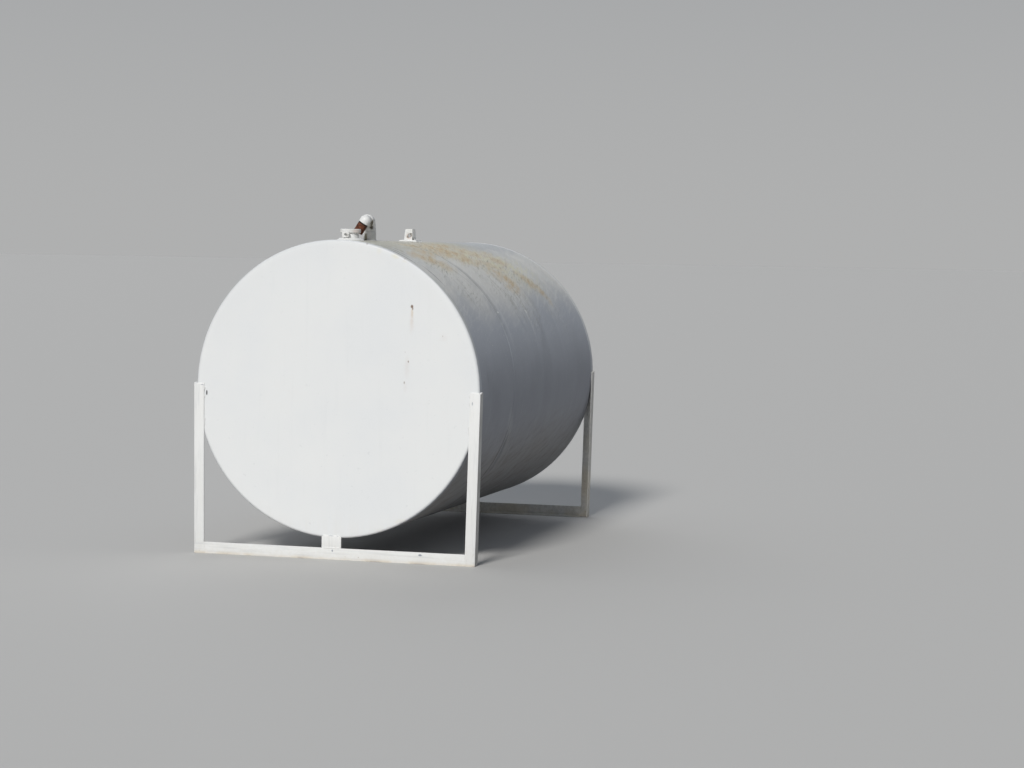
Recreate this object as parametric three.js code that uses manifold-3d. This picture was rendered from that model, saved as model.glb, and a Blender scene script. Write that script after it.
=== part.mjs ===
// A horizontal steel storage tank: a rolled shell in two courses with a flat flanged head at each
// end, standing on an angle-iron frame at each end, with a fill fitting, a gooseneck vent and a
// lifting lug along the top. Millimetres, +Z up, +Y from the front head to the rear head. The
// origin is on the floor, midway between the two frames.
import * as THREE from "three";
import { mergeVertices } from "three/addons/utils/BufferGeometryUtils.js";
import Module from "manifold-3d";

// Tank body
const TANK_RADIUS = 609.6; // outside, a 48 in shell
const TANK_LENGTH = 1956; // over the faces of the heads, 77 in
const PLATE = 3.4; // shell and heads, 10 gauge
const AXIS_HEIGHT = 698; // tank axis above the floor
const SEAM_FROM_FRONT = 540; // ring seam, behind the front face
const FLANGE_DEPTH = 32; // head flange, from the face to the weld
const KNUCKLE = 9; // outside radius of the bend between face and flange
const SHELL_SEGMENTS = 96;

// Angle-iron end frames
const ANGLE = 43; // leg width of the angle
const ANGLE_THICK = 5;
const SILL_HEIGHT = 48; // upright leg of the bottom angle
const LEFT_LEG = { standOff: 5, lean: 6, height: 705 }; // off the shell, foot inwards, over the floor
const RIGHT_LEG = { standOff: 0.3, lean: 14, height: 699 };
const STUB_WIDTH = 84;
const STUB_X = -11; // centre of the stub, a little left of the axis
const STUB_LAP = 8; // how far the stub laps onto the head

// Fill fitting on the crown
const FILL_Y = 158; // behind the front face
const FILL_FLANGE_RADIUS = 53;
const FILL_FLANGE_HEIGHT = 8;
const FILL_NECK_RADIUS = 35;
const FILL_NECK_BORE = 27;
const FILL_NECK_HEIGHT = 38;
const FILL_CAP_RADIUS = 43;
const FILL_CAP_BOTTOM = 28.5; // above the crown
const FILL_CAP_TOP = 45.2;
const HASP_X = -5;
const HASP_WIDTH = 29;
const HASP_THICK = 6;
const HASP_BOTTOM = 10; // above the crown
const HASP_LAP = 4.5; // how far its top laps over the cap's rim
const HASP_EYE = 5; // eye radius
const HASP_EYE_HEIGHT = 12; // above the plate's bottom

// Vent: half coupling, two elbows and a pipe nipple, all for 1 1/4 in pipe
const VENT_Y = 402;
const PIPE_RADIUS = 21.1;
const PIPE_BORE = 17.5;
const COUPLING_RADIUS = 27.5;
const COUPLING_HEIGHT = 38;
const ELBOW_REACH = 43; // corner of an elbow to the end of its band
const ELBOW_BEND = 22; // centreline radius of the lower elbow
const ELBOW_BODY = 25.4; // body radius of the lower elbow
const BALL_BODY = 23.4; // body radius of the upper elbow, which has a ball corner
const BAND_RADIUS = 27;
const BAND_LENGTH = 13;
const ELBOW_CORNER_HEIGHT = 81.5; // lower elbow's corner above the crown
const BAND_SPACING = 3; // nipple thread that shows between two bands
const VENT_TURN = 7; // degrees to the right, how far the run is screwed off the tank's axis
const OUTLET_ROLL = 33; // degrees to the left of straight down, the upper elbow's outlet
const OUTLET_LIP = 12.5; // upper elbow's corner to its outlet lip
const OUTLET_ENTRY = 5; // how far the outlet nipple is screwed in
const OUTLET_END = 58; // upper elbow's corner to the end of the outlet nipple

// Lifting lug, a piece of angle on a pad
const LUG_Y = 962;
const LUG_ANGLE = 42;
const LUG_THICK = 6;
const LUG_HEIGHT = 54; // above the crown
const LUG_TURN = -9; // degrees about the vertical
const LUG_FRONT_TAPER = 7; // how much narrower each leg is at its top
const LUG_SIDE_TAPER = 14;
const LUG_HOLE = 8; // hole radius
const LUG_HOLE_FROM_CORNER = 15;
const LUG_HOLE_HEIGHT = 24; // above the crown
const PAD_WIDTH = 76;
const PAD_THICK = 6;

const FIT = 0.3; // gap between pieces that touch
const ROUND = 32; // segments round a fitting

const wasm = await Module();
wasm.setup();

// A closed geometry as a solid, with its shared corners merged and its empty faces dropped.
function solidOf(geometry) {
  const bare = new THREE.BufferGeometry();
  bare.setAttribute("position", geometry.getAttribute("position"));
  if (geometry.index) bare.setIndex(geometry.index);
  const merged = mergeVertices(bare, 1e-3);
  const corners = merged.index.array;
  const faces = [];
  for (let i = 0; i < corners.length; i += 3) {
    const [a, b, c] = [corners[i], corners[i + 1], corners[i + 2]];
    if (a !== b && b !== c && a !== c) faces.push(a, b, c);
  }
  return new wasm.Manifold(
    new wasm.Mesh({
      numProp: 3,
      vertProperties: new Float32Array(merged.attributes.position.array),
      triVerts: new Uint32Array(faces),
    }),
  );
}

// A solid's surface as a geometry.
function geometryOf(solid) {
  const mesh = solid.getMesh();
  const count = mesh.vertProperties.length / mesh.numProp;
  const position = new Float32Array(count * 3);
  for (let i = 0; i < count; i++) {
    position.set(mesh.vertProperties.subarray(i * mesh.numProp, i * mesh.numProp + 3), i * 3);
  }
  const geometry = new THREE.BufferGeometry();
  geometry.setAttribute("position", new THREE.BufferAttribute(position, 3));
  geometry.setIndex(new THREE.BufferAttribute(new Uint32Array(mesh.triVerts), 1));
  geometry.computeVertexNormals();
  return geometry;
}

// A shape turned about the Y axis, from its [radius, height] corners taken outside first and upwards.
function turned(corners, segments = ROUND) {
  return new THREE.LatheGeometry(corners.map(([r, y]) => new THREE.Vector2(r, y)), segments);
}

// A round bar about the Y axis.
function bar(radius, low, high, segments = ROUND) {
  return turned([[0, low], [radius, low], [radius, high], [0, high]], segments);
}

// A tube about the Y axis, from its wall's outer corners and its bore.
function tube(radius, bore, low, high, segments = ROUND) {
  return turned([[radius, low], [radius, high], [bore, high], [bore, low], [radius, low]], segments);
}

// Stands a turned geometry up, its axis along Z, at a place on the floor plan.
function upright(geometry, x = 0, y = 0) {
  return geometry.rotateX(Math.PI / 2).translate(x, y, 0);
}

const WHITE = { color: 0xdfe2e4, roughness: 0.45, metalness: 0.0 };
const WEATHERED = { color: 0xb9bec2, roughness: 0.6, metalness: 0.0 };
const RUST = { color: 0x6e3a22, roughness: 0.85, metalness: 0.1 };

function piece(name, geometry, finish) {
  const mesh = new THREE.Mesh(geometry, new THREE.MeshStandardMaterial(finish));
  mesh.name = name;
  return mesh;
}

// The shell: two courses that meet at the ring seam, between the flanges of the heads.
function shellCourse(low, high) {
  return tube(TANK_RADIUS, TANK_RADIUS - PLATE, low, high, SHELL_SEGMENTS);
}

function frontCourse() {
  const course = solidOf(shellCourse(FLANGE_DEPTH + FIT, SEAM_FROM_FRONT));
  const fillHole = upright(bar(FILL_NECK_BORE, TANK_RADIUS - 60, TANK_RADIUS + 60), 0, FILL_Y);
  return geometryOf(course.subtract(solidOf(fillHole)));
}

// A flat head with its rim turned back over a small knuckle. The face is at y = 0 and the flange
// runs to +y.
function head() {
  const inside = TANK_RADIUS - PLATE;
  const corners = [[0, 0]];
  const steps = 3;
  for (let i = 0; i <= steps; i++) {
    const turn = (i / steps) * (Math.PI / 2);
    corners.push([
      TANK_RADIUS - KNUCKLE + KNUCKLE * Math.sin(turn),
      KNUCKLE - KNUCKLE * Math.cos(turn),
    ]);
  }
  corners.push([TANK_RADIUS, FLANGE_DEPTH], [inside, FLANGE_DEPTH]);
  const innerKnuckle = KNUCKLE - PLATE;
  for (let i = steps; i >= 0; i--) {
    const turn = (i / steps) * (Math.PI / 2);
    corners.push([
      inside - innerKnuckle + innerKnuckle * Math.sin(turn),
      PLATE + innerKnuckle - innerKnuckle * Math.cos(turn),
    ]);
  }
  corners.push([0, PLATE]);
  return turned(corners, SHELL_SEGMENTS);
}

// The tank's outside grown by the fitting gap, which cuts a seat into what stands on the crown.
const seat = solidOf(
  bar(TANK_RADIUS + FIT, 0, TANK_LENGTH, SHELL_SEGMENTS).translate(0, 0, -TANK_RADIUS),
);

// Cuts a fitting's foot to the tank. Its geometry is in the crown's frame: z = 0 on the crown and
// y = 0 at the front face.
function seated(geometry) {
  return geometryOf(solidOf(geometry).subtract(seat));
}

const SEAT_DEPTH = -8; // how far below the crown a fitting's blank reaches before it is cut

const tank = new THREE.Group();
tank.position.set(0, -TANK_LENGTH / 2, AXIS_HEIGHT);
tank.add(
  piece("shell_front_course", frontCourse(), WEATHERED),
  piece(
    "shell_rear_course",
    shellCourse(SEAM_FROM_FRONT + FIT, TANK_LENGTH - FLANGE_DEPTH - FIT),
    WEATHERED,
  ),
  piece("front_head", head(), WHITE),
);
const rearHead = piece("rear_head", head(), WHITE);
rearHead.rotation.z = Math.PI;
rearHead.position.y = TANK_LENGTH;
tank.add(rearHead);

// An end frame, as seen from outside the tank: its outer face is the plane y = 0, the head's face
// lies behind it at y > 0, and z = 0 is the floor. The angles have their backs outwards and down.
function outline(corners) {
  return new THREE.Shape(corners.map(([x, y]) => new THREE.Vector2(x, y)));
}

// The outer face of a leg, level with the tank's axis.
function outside({ standOff }) {
  return TANK_RADIUS + standOff + ANGLE_THICK;
}

// One leg, by its side (-1 on the left and 1 on the right) and its sizes.
function leg(side, sizes) {
  const outer = side * outside(sizes);
  const web = side * (outside(sizes) - ANGLE_THICK);
  const inner = side * (outside(sizes) - ANGLE);
  const section = outline([
    [outer, 0],
    [inner, 0],
    [inner, ANGLE_THICK],
    [web, ANGLE_THICK],
    [web, ANGLE],
    [outer, ANGLE],
  ]);
  const { lean, height } = sizes;
  const geometry = new THREE.ExtrudeGeometry(section, { depth: height, bevelEnabled: false });
  const slope = (side * lean) / AXIS_HEIGHT;
  const shear = new THREE.Matrix4().set(1, 0, slope, -side * lean, 0, 1, 0, 0, 0, 0, 1, 0, 0, 0, 0, 1);
  return geometry.applyMatrix4(shear);
}

// How far a leg's inner edge is from the middle, at a height.
function innerEdge(sizes, height) {
  return outside(sizes) - ANGLE - sizes.lean * (1 - height / AXIS_HEIGHT);
}

// The bottom angle, between the legs' inner edges.
function sill(left, right) {
  const low = -innerEdge(left, 0) + FIT;
  const high = innerEdge(right, 0) - FIT;
  const section = outline([
    [0, 0],
    [ANGLE, 0],
    [ANGLE, ANGLE_THICK],
    [ANGLE_THICK, ANGLE_THICK],
    [ANGLE_THICK, SILL_HEIGHT],
    [0, SILL_HEIGHT],
  ]);
  const geometry = new THREE.ExtrudeGeometry(section, { depth: high - low, bevelEnabled: false });
  // the section is drawn in the (y, z) plane, and its length runs along x
  return geometry.applyMatrix4(
    new THREE.Matrix4().set(0, 0, 1, low, 1, 0, 0, 0, 0, 1, 0, 0, 0, 0, 0, 1),
  );
}

// The short flat post from the bottom angle to the bottom of the head.
function stub(centre) {
  const low = SILL_HEIGHT + FIT;
  const high = AXIS_HEIGHT - TANK_RADIUS + STUB_LAP;
  const geometry = new THREE.BoxGeometry(STUB_WIDTH, ANGLE_THICK, high - low);
  return geometry.translate(centre, ANGLE_THICK / 2, (low + high) / 2);
}

// A whole frame: its legs and the stub's offset are given as seen from outside.
function endFrame(prefix, leftName, rightName, left, right, stubCentre) {
  const frame = new THREE.Group();
  frame.add(
    piece(`${prefix}_${leftName}_leg`, leg(-1, left), WHITE),
    piece(`${prefix}_${rightName}_leg`, leg(1, right), WHITE),
    piece(`${prefix}_sill`, sill(left, right), WHITE),
    piece(`${prefix}_center_stub`, stub(stubCentre), WHITE),
  );
  return frame;
}

const FRAME_PLANE = TANK_LENGTH / 2 + FIT + ANGLE_THICK; // outer face of a frame from mid-length
const frontFrame = endFrame("front", "left", "right", LEFT_LEG, RIGHT_LEG, STUB_X);
frontFrame.position.y = -FRAME_PLANE;
const rearFrame = endFrame("rear", "right", "left", RIGHT_LEG, LEFT_LEG, -STUB_X);
rearFrame.position.y = FRAME_PLANE;
rearFrame.rotation.z = Math.PI;

const crown = new THREE.Group();
crown.position.set(0, -TANK_LENGTH / 2, AXIS_HEIGHT + TANK_RADIUS);

// The fill fitting: a low flange welded to the shell, a threaded neck and a cap over the neck.
function fillFlange() {
  const rim = FILL_FLANGE_RADIUS;
  const bore = FILL_NECK_RADIUS + FIT;
  const corners = [
    [rim, SEAT_DEPTH],
    [rim, 1],
    [rim - 9, FILL_FLANGE_HEIGHT],
    [bore, FILL_FLANGE_HEIGHT],
    [bore, SEAT_DEPTH],
    [rim, SEAT_DEPTH],
  ];
  return seated(upright(turned(corners), 0, FILL_Y));
}

function fillNeck() {
  return seated(upright(tube(FILL_NECK_RADIUS, FILL_NECK_BORE, SEAT_DEPTH, FILL_NECK_HEIGHT), 0, FILL_Y));
}

function fillCap() {
  const inside = FILL_NECK_RADIUS + 2 * FIT;
  const ceiling = FILL_NECK_HEIGHT + FIT;
  const bevel = 2;
  const corners = [
    [0, ceiling],
    [inside, ceiling],
    [inside, FILL_CAP_BOTTOM],
    [FILL_CAP_RADIUS, FILL_CAP_BOTTOM],
    [FILL_CAP_RADIUS, FILL_CAP_TOP - bevel],
    [FILL_CAP_RADIUS - bevel, FILL_CAP_TOP],
    [0, FILL_CAP_TOP],
  ];
  return upright(turned(corners), 0, FILL_Y);
}

// The lock yoke in front of the cap: a plate with an eye, hanging from the cap's rim.
function fillHasp() {
  const half = HASP_WIDTH / 2;
  const top = FILL_CAP_BOTTOM + HASP_LAP;
  const clip = 4;
  const face = outline([
    [-half, HASP_BOTTOM + clip],
    [-half + clip, HASP_BOTTOM],
    [half - clip, HASP_BOTTOM],
    [half, HASP_BOTTOM + clip],
    [half, top],
    [-half, top],
  ]);
  const eye = new THREE.Path();
  eye.absarc(0, HASP_BOTTOM + HASP_EYE_HEIGHT, HASP_EYE, 0, 2 * Math.PI, true);
  face.holes.push(eye);
  const geometry = new THREE.ExtrudeGeometry(face, {
    depth: HASP_THICK,
    bevelEnabled: false,
    curveSegments: ROUND / 2,
  });
  // the plate stands in the XZ plane and its thickness runs towards -y
  geometry.rotateX(Math.PI / 2);
  return geometry.translate(HASP_X, FILL_Y - FILL_CAP_RADIUS - FIT, 0);
}

crown.add(
  piece("fill_flange", fillFlange(), WHITE),
  piece("fill_neck", fillNeck(), WHITE),
  piece("fill_cap", fillCap(), WHITE),
  piece("fill_cap_hasp", fillHasp(), WHITE),
);

// A pipe nipple along the Y axis.
function nipple(low, high) {
  return tube(PIPE_RADIUS, PIPE_BORE, low, high);
}

// The centreline of an elbow from (0, 0, -reach) up to its corner at the origin and out to
// (0, -reach, 0), with the corner rounded to a bend.
function elbowLine(reach, bend) {
  const line = new THREE.CurvePath();
  const start = new THREE.Vector3(0, 0, -reach);
  const bendIn = new THREE.Vector3(0, 0, -bend);
  const bendOut = new THREE.Vector3(0, -bend, 0);
  const end = new THREE.Vector3(0, -reach, 0);
  line.add(new THREE.LineCurve3(start, bendIn));
  line.add(new THREE.QuadraticBezierCurve3(bendIn, new THREE.Vector3(0, 0, 0), bendOut));
  line.add(new THREE.LineCurve3(bendOut, end));
  return line;
}

function sweep(line, radius) {
  const section = new THREE.Shape();
  section.absarc(0, 0, radius, 0, 2 * Math.PI, false);
  return new THREE.ExtrudeGeometry(section, {
    steps: 12,
    curveSegments: ROUND / 2,
    extrudePath: line,
    bevelEnabled: false,
  });
}

const socket = PIPE_RADIUS + FIT;

function lowerElbow() {
  const line = elbowLine(ELBOW_REACH, ELBOW_BEND);
  const overrun = elbowLine(ELBOW_REACH + 1, ELBOW_BEND);
  const band = [-ELBOW_REACH, -ELBOW_REACH + BAND_LENGTH];
  return geometryOf(
    solidOf(sweep(line, ELBOW_BODY))
      .add(solidOf(upright(bar(BAND_RADIUS, ...band))))
      .add(solidOf(bar(BAND_RADIUS, ...band)))
      .subtract(solidOf(sweep(overrun, PIPE_BORE)))
      .subtract(solidOf(upright(bar(socket, -ELBOW_REACH - 1, -ELBOW_REACH + BAND_LENGTH + 2))))
      .subtract(solidOf(bar(socket, -ELBOW_REACH - 1, -ELBOW_REACH + BAND_LENGTH + 2))),
  );
}

// The upper elbow has a ball corner, its inlet along +y and a short outlet straight down. The whole
// elbow and its nipple are then rolled about the inlet.
function down(geometry) {
  return geometry.rotateX(-Math.PI / 2);
}

function upperElbow() {
  const ball = new THREE.SphereGeometry(BALL_BODY, ROUND, ROUND / 2);
  const inlet = [ELBOW_REACH - BAND_LENGTH, ELBOW_REACH];
  return geometryOf(
    solidOf(ball)
      .add(solidOf(bar(BALL_BODY, 0, ELBOW_REACH)))
      .add(solidOf(bar(BAND_RADIUS, ...inlet)))
      .add(solidOf(down(bar(BALL_BODY, 0, OUTLET_LIP))))
      .subtract(solidOf(bar(PIPE_BORE, 0, ELBOW_REACH + 1)))
      .subtract(solidOf(bar(socket, inlet[0] - 2, ELBOW_REACH + 1)))
      .subtract(solidOf(down(bar(PIPE_BORE, 0, OUTLET_LIP + 1))))
      .subtract(solidOf(down(bar(socket, OUTLET_LIP - OUTLET_ENTRY, OUTLET_END)))),
  );
}

// The vent, from the coupling on the crown to the outlet nipple that points down to the left.
crown.add(
  piece(
    "vent_coupling",
    seated(upright(tube(COUPLING_RADIUS, socket, SEAT_DEPTH, COUPLING_HEIGHT), 0, VENT_Y)),
    WHITE,
  ),
);
const riserTop = ELBOW_CORNER_HEIGHT - ELBOW_REACH + BAND_LENGTH;
const riser = piece(
  "vent_riser_nipple",
  upright(nipple(COUPLING_HEIGHT - BAND_LENGTH, riserTop)),
  WHITE,
);
riser.position.y = VENT_Y;
crown.add(riser);
const gooseneck = new THREE.Group();
gooseneck.position.set(0, VENT_Y, ELBOW_CORNER_HEIGHT);
gooseneck.rotation.z = THREE.MathUtils.degToRad(VENT_TURN);
const upperCorner = -(2 * ELBOW_REACH + BAND_SPACING);
const upper = new THREE.Group();
upper.position.y = upperCorner;
upper.rotation.y = THREE.MathUtils.degToRad(OUTLET_ROLL);
upper.add(
  piece("vent_upper_elbow", upperElbow(), WHITE),
  piece("vent_outlet_nipple", down(nipple(OUTLET_LIP - OUTLET_ENTRY + FIT, OUTLET_END)), RUST),
);
gooseneck.add(
  piece("vent_lower_elbow", lowerElbow(), WHITE),
  piece(
    "vent_close_nipple",
    nipple(-ELBOW_REACH - BAND_SPACING - BAND_LENGTH, -ELBOW_REACH + BAND_LENGTH),
    WHITE,
  ),
  upper,
);
crown.add(gooseneck);

// The lifting lug: a pad bent to the shell, and on it a short piece of angle with its free edges
// tapered and a shackle hole in each leg.
function lugPad() {
  const blank = new THREE.BoxGeometry(PAD_WIDTH, PAD_WIDTH, 40);
  const outer = bar(TANK_RADIUS + FIT + PAD_THICK, LUG_Y - PAD_WIDTH, LUG_Y + PAD_WIDTH, SHELL_SEGMENTS);
  const plate = solidOf(blank.translate(0, LUG_Y, 0)).intersect(
    solidOf(outer.translate(0, 0, -TANK_RADIUS)),
  );
  return geometryOf(plate.subtract(seat));
}

// One leg of the lug, from the angle's corner towards -x and standing on the pad.
function lugLeg(taper) {
  const clip = 4;
  const top = -LUG_ANGLE + taper;
  const face = outline([
    [0, 0],
    [0, LUG_HEIGHT],
    [top + clip, LUG_HEIGHT],
    [top, LUG_HEIGHT - clip],
    [-LUG_ANGLE, 0],
  ]);
  const geometry = new THREE.ExtrudeGeometry(face, { depth: LUG_THICK, bevelEnabled: false });
  return geometry.rotateX(Math.PI / 2).translate(0, LUG_THICK, 0);
}

function liftingLug() {
  const front = solidOf(lugLeg(LUG_FRONT_TAPER));
  const side = solidOf(lugLeg(LUG_SIDE_TAPER).translate(0, -LUG_THICK, 0).rotateZ(-Math.PI / 2));
  const hole = bar(LUG_HOLE, -LUG_THICK, 2 * LUG_THICK);
  hole.translate(-LUG_HOLE_FROM_CORNER, 0, LUG_HOLE_HEIGHT);
  const angle = geometryOf(front.add(side).subtract(solidOf(hole)));
  angle.translate(LUG_ANGLE / 2, -LUG_ANGLE / 2, 0).rotateZ(THREE.MathUtils.degToRad(LUG_TURN));
  const padTop = TANK_RADIUS + PAD_THICK + 2 * FIT;
  const footRoom = bar(padTop, -2 * LUG_ANGLE, 2 * LUG_ANGLE, SHELL_SEGMENTS);
  return geometryOf(solidOf(angle).subtract(solidOf(footRoom.translate(0, 0, -TANK_RADIUS))));
}

const lug = piece("lifting_lug", liftingLug(), WHITE);
lug.position.y = LUG_Y;
crown.add(piece("lug_pad", lugPad(), WHITE), lug);

const model = new THREE.Group();
model.add(tank, frontFrame, rearFrame, crown);

export default model;
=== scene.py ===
"""A horizontal steel storage tank on angle-iron end frames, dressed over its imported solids.

Metres, +Z up, +Y from the front head to the rear head, and the floor at z = 0.
"""
import math

import bmesh
import bpy
import numpy as np
from mathutils import Matrix, Vector, noise


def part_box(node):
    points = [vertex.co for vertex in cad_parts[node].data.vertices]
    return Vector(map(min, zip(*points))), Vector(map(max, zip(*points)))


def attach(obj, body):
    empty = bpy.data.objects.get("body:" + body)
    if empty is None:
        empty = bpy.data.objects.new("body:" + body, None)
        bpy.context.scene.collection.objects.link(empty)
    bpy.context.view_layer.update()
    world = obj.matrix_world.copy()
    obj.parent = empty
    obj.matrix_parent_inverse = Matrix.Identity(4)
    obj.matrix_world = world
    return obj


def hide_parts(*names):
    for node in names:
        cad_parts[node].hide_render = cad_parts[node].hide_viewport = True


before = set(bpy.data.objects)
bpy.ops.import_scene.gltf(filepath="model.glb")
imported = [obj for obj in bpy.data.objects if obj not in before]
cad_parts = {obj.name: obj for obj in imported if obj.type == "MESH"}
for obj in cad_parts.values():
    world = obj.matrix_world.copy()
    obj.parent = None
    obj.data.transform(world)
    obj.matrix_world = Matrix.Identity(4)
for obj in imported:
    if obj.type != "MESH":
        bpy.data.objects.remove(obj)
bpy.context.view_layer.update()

# The camera stands about ten metres off the front head, to its right and a little below the top of
# the tank, with a long lens, and it leans by less than a degree.
CAMERA_PLACE = (3.2793, -10.2161, 1.2839)
CAMERA_TURN = 15.3467  # degrees left of the tank's axis
CAMERA_TILT = 3.2363  # degrees down
CAMERA_LEAN = 0.8723  # degrees
CAMERA_LENS = 84.47  # millimetres on a 36 mm sensor


def rotation(degrees, axis):
    return Matrix.Rotation(math.radians(degrees), 4, axis)


lens = bpy.data.cameras.new("camera")
lens.lens = CAMERA_LENS
lens.clip_end = 400  # beyond the floor's far edge
camera = bpy.data.objects.new("camera", lens)
bpy.context.scene.collection.objects.link(camera)
camera.matrix_world = (
    Matrix.Translation(CAMERA_PLACE)
    @ rotation(CAMERA_TURN, "Z")
    @ rotation(90 - CAMERA_TILT, "X")
    @ rotation(CAMERA_LEAN, "Z")
)
bpy.context.scene.camera = camera
bpy.context.scene.view_settings.view_transform = "Standard"


# A pale floor and a pale surround that darkens upwards and to the right, with one broad soft light
# from in front and above and a weak one from behind. They leave the underside and the right side of
# the tank in soft shade.
class Wire:
    """A socket of a material's nodes, worked with like a number."""

    def __init__(self, tree, socket=None):
        self.tree = tree
        self.socket = socket

    def node(self, kind, settings=None, inputs=None, output=0):
        made = self.tree.nodes.new("ShaderNode" + kind)
        for key, value in (settings or {}).items():
            setattr(made, key, value)
        for key, value in (inputs or {}).items():
            if isinstance(value, Wire):
                self.tree.links.new(value.socket, made.inputs[key])
            else:
                made.inputs[key].default_value = value
        return Wire(self.tree, made.outputs[output])

    def math(self, operation, *values):
        return self.node("Math", {"operation": operation}, dict(enumerate(values)))

    def vector(self, operation, *values, output=0):
        return self.node("VectorMath", {"operation": operation}, dict(enumerate(values)), output)

    def __add__(self, other):
        return self.math("ADD", self, other)

    def __sub__(self, other):
        return self.math("SUBTRACT", self, other)

    def __rsub__(self, other):
        return self.math("SUBTRACT", other, self)

    def __mul__(self, other):
        return self.math("MULTIPLY", self, other)

    __radd__ = __add__
    __rmul__ = __mul__

    def size(self):
        return self.math("ABSOLUTE", self)

    def ease(self, low, high):
        """0 at low, 1 at high and smooth between; high may be the lower one."""
        limits = {"Value": self, "From Min": low, "From Max": high}
        return self.node("MapRange", {"interpolation_type": "SMOOTHSTEP"}, limits)

    def limit(self):
        return self.node("Clamp", None, {"Value": self})

    def either(self, other):
        return self.math("MAXIMUM", self, other)

    def parts(self):
        """The x, y and z of a vector."""
        return [self.node("SeparateXYZ", None, {0: self}, axis) for axis in range(3)]


def connect(shader, **wires):
    """Wires to a shader's sockets by their names, with _ for a space."""
    for key, wire in wires.items():
        wire.tree.links.new(wire.socket, shader.inputs[key.replace("_", " ")])


def blended(amount, under, over):
    """One colour laid over another."""
    return amount.node("Mix", {"data_type": "RGBA"}, {0: amount, 6: under, 7: over}, 2)


def tone(red, green, blue):
    return (red, green, blue, 1)


FLOOR_HALF = 200
FLOOR_GREY = tone(0.542, 0.533, 0.518)
SKY_LOW = tone(0.43, 0.433, 0.433)
SKY_HIGH = tone(0.20, 0.225, 0.26)
SKY_RIGHT = tone(0.12, 0.13, 0.15)
floor_mesh = bpy.data.meshes.new("floor")
floor_corners = [(x * FLOOR_HALF, y * FLOOR_HALF, 0) for x, y in ((-1, -1), (1, -1), (1, 1), (-1, 1))]
floor_mesh.from_pydata(floor_corners, [], [(0, 1, 2, 3)])
floor_finish = bpy.data.materials.new("studio_floor")
floor_finish.use_nodes = True
floor_shader = floor_finish.node_tree.nodes["Principled BSDF"]
floor_shader.inputs["Base Color"].default_value = FLOOR_GREY
floor_shader.inputs["Roughness"].default_value = 0.9
floor_mesh.materials.append(floor_finish)
floor = bpy.data.objects.new("floor", floor_mesh)
bpy.context.scene.collection.objects.link(floor)

world = bpy.data.worlds.new("surround")
world.use_nodes = True
sky = Wire(world.node_tree)
right, _, up = sky.node("TexCoord", output="Generated").parts()
shade = blended(up.ease(0.0, 0.4), SKY_LOW, SKY_HIGH)
shade = blended(right.ease(0.3, 0.9), shade, SKY_RIGHT)
connect(world.node_tree.nodes["Background"], Color=shade)
bpy.context.scene.world = world


def broad_light(name, towards, strength, spread, color):
    """A distant soft light: the direction that it shines in, and how many degrees wide it looks."""
    light = bpy.data.lights.new(name, "SUN")
    light.energy = strength
    light.angle = math.radians(spread)
    light.color = color
    holder = bpy.data.objects.new(name, light)
    holder.rotation_euler = Vector(towards).to_track_quat("-Z", "Y").to_euler()
    bpy.context.scene.collection.objects.link(holder)


broad_light("front_light", (0.04, 0.80, -0.60), strength=2.55, spread=14, color=(1, 0.985, 0.955))
broad_light("back_light", (0.45, -0.70, -0.55), strength=0.50, spread=40, color=(0.95, 0.97, 1))


# The shell is 3.4 mm steel plate rolled in two courses, each closed by a weld along its underside
# and both joined by a ring weld 0.54 m behind the front face. The plate draws in a little at the
# ring weld, is faintly wavy, and has three shallow creases in the right side of the rear course.
front_low, front_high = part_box("shell_front_course")
rear_low, rear_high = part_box("shell_rear_course")
PLATE = 0.0034
RADIUS = (rear_high.x - rear_low.x) / 2
AXIS = (rear_high.z + rear_low.z) / 2  # height of the tank's axis
SEAM = rear_low.y
FRONT_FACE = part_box("front_head")[0].y
REAR_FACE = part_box("rear_head")[1].y
AROUND = 384  # points round the shell
RING_STEP = 0.016  # between rings of points along it


def circle(count):
    """The angles of points spaced evenly round a circle."""
    return np.linspace(0, math.tau, count, endpoint=False)


angles = circle(AROUND)


def smoothed(mesh, sharp=35):
    """Turns a closed mesh's faces outwards and shades it smooth but for edges over sharp degrees."""
    work = bmesh.new()
    work.from_mesh(mesh)
    if work.calc_volume(signed=True) < 0:
        bmesh.ops.reverse_faces(work, faces=work.faces)
    work.to_mesh(mesh)
    work.free()
    mesh.shade_smooth()
    mesh.set_sharp_from_angle(angle=math.radians(sharp))
    return mesh


def skin(rings, closed=False, sharp=35):
    """A solid through rings of points, capped at both ends, or with the last joined to the first."""
    rings = np.asarray(rings, float)
    count, around = rings.shape[:2]
    rows = np.arange(count if closed else count - 1)
    columns = np.arange(around)
    after = (columns + 1) % around
    here = (rows * around)[:, None]
    there = ((rows + 1) % count * around)[:, None]
    faces = np.stack([here + columns, here + after, there + after, there + columns], -1)
    faces = faces.reshape(-1, 4).tolist()
    if not closed:
        faces.append(columns[::-1].tolist())
        faces.append((columns + (count - 1) * around).tolist())
    mesh = bpy.data.meshes.new("skin")
    mesh.from_pydata(rings.reshape(-1, 3).tolist(), [], faces)
    return smoothed(mesh, sharp)


def add(name, mesh, finish, slot, *nodes):
    """Puts a piece into the scene, in place of the solids that it stands for."""
    mesh.name = name
    mesh.materials.clear()
    mesh.materials.append(finish)
    piece = bpy.data.objects.new(name, mesh)
    bpy.context.scene.collection.objects.link(piece)
    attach(piece, "root")
    if nodes:
        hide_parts(*nodes)


def stations(low, high, step):
    """Places from low to high, about a step apart."""
    return np.linspace(low, high, max(2, round(abs(high - low) / step) + 1))


def hoop(radii, y):
    """A ring of points round the tank's axis."""
    radii, ys, turns = np.broadcast_arrays(radii, y, angles)
    return np.stack([radii * np.cos(turns), ys, AXIS + radii * np.sin(turns)], -1)


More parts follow.
